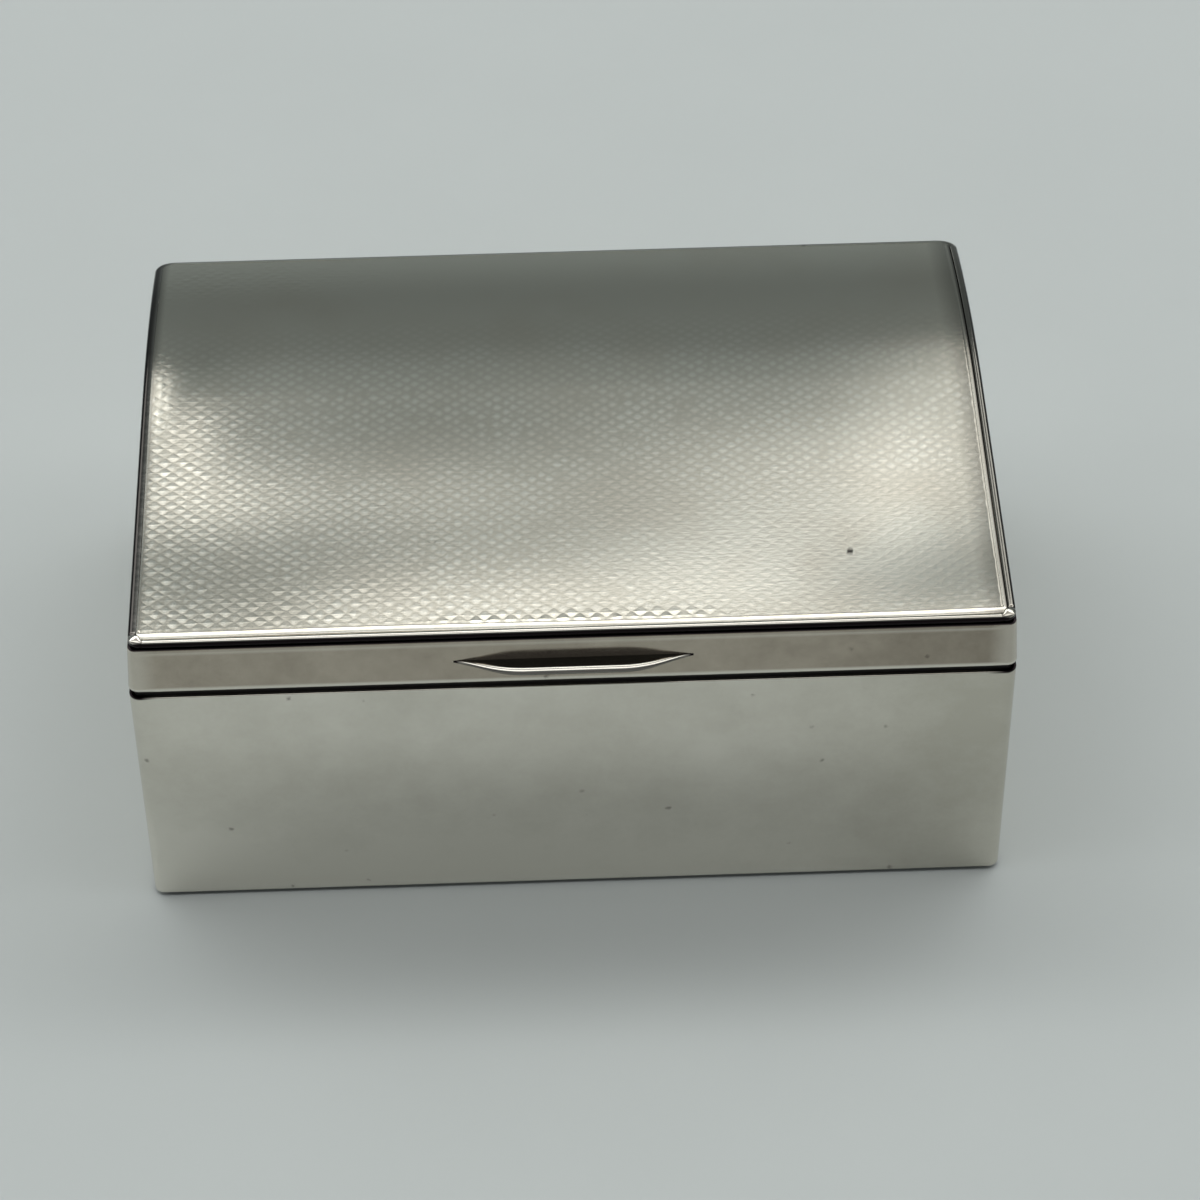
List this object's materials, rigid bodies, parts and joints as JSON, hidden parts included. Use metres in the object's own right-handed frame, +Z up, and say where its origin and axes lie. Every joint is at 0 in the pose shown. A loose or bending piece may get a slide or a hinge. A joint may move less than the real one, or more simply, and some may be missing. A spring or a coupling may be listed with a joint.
{
  "type": "cigarette box",
  "caption": "Rectangular silver table box with a cedar lining and a hinged lid: gently arched engine-turned top, bead edge and a long thumbpiece on the front.",
  "frame": {"origin": "middle of the base board's underside, where the box stands on the table", "axes": "+X along the width, to the right seen from the front; +Y from the thumbpiece to the hinge; +Z up"},
  "size_m": [0.14, 0.0988, 0.0622],
  "materials": {
    "silver": "polished silver, lightly worn and tarnished",
    "turned_silver": "engine-turned silver, barleycorn cuts inside a plain polished border",
    "cedar": "bare cedar, planed smooth",
    "hardwood": "dark stained hardwood",
    "brass": "plain brass screws, dulled"
  },
  "bodies": {
    "body": {"body_band": "silver", "base_board": "hardwood", "lining_floor": "cedar", "lining_front": "cedar", "lining_back": "cedar", "lining_left": "cedar", "lining_right": "cedar", "body_bearer": "silver", "hinge_pin": "silver", "base_screw_1": "brass", "base_screw_2": "brass", "base_screw_3": "brass", "base_screw_4": "brass", "body_knuckle_1": "silver", "body_knuckle_2": "silver", "body_knuckle_3": "silver", "body_knuckle_4": "silver"},
    "lid": {"lid_band": "silver", "lid_top": "turned_silver", "moulding_front": "silver", "moulding_back": "silver", "moulding_left": "silver", "moulding_right": "silver", "thumbpiece": "silver", "lid_lining": "cedar", "lid_bearer": "silver", "lid_knuckle_1": "silver", "lid_knuckle_2": "silver", "lid_knuckle_3": "silver"}
  },
  "joints": [
    {"name": "lid_hinge", "type": "hinge", "parent": "body", "child": "lid", "pos_m": [0, 0.0465, 0.04713], "axis": [-1, 0, 0], "range_deg": [0, 100]}
  ]
}
